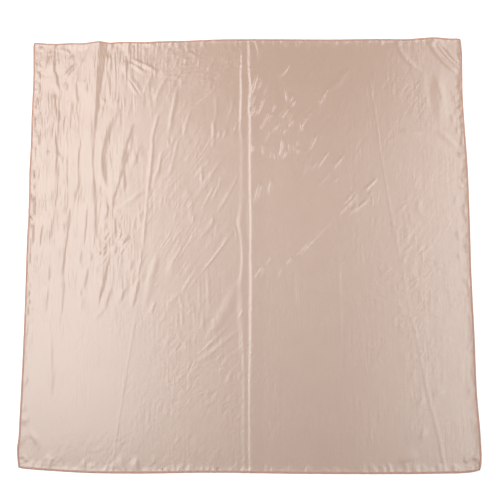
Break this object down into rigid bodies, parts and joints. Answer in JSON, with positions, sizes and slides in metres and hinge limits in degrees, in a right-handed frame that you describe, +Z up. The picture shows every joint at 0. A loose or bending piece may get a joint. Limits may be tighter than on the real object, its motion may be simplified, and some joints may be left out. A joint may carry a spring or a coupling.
{
  "type": "square scarf",
  "caption": "Square satin scarf laid flat, with packing creases, soft folds and a narrow serged edge in darker thread.",
  "frame": {"origin": "middle of the scarf's outline, on the surface that it lies on", "axes": "+Z up, out of the face that is looked at; +Y towards the top hem; +X towards the right hem"},
  "size_m": [0.9074, 0.9166, 0.0072],
  "materials": {
    "satin": "champagne satin, bright face up, with a broad soft sheen",
    "edge_thread": "terracotta overlock thread with a faint shine"
  },
  "bodies": {
    "root": {"satin_panel": "satin", "serged_edge_top": "edge_thread", "serged_edge_right": "edge_thread", "serged_edge_bottom": "edge_thread", "serged_edge_left": "edge_thread"}
  },
  "joints": []
}
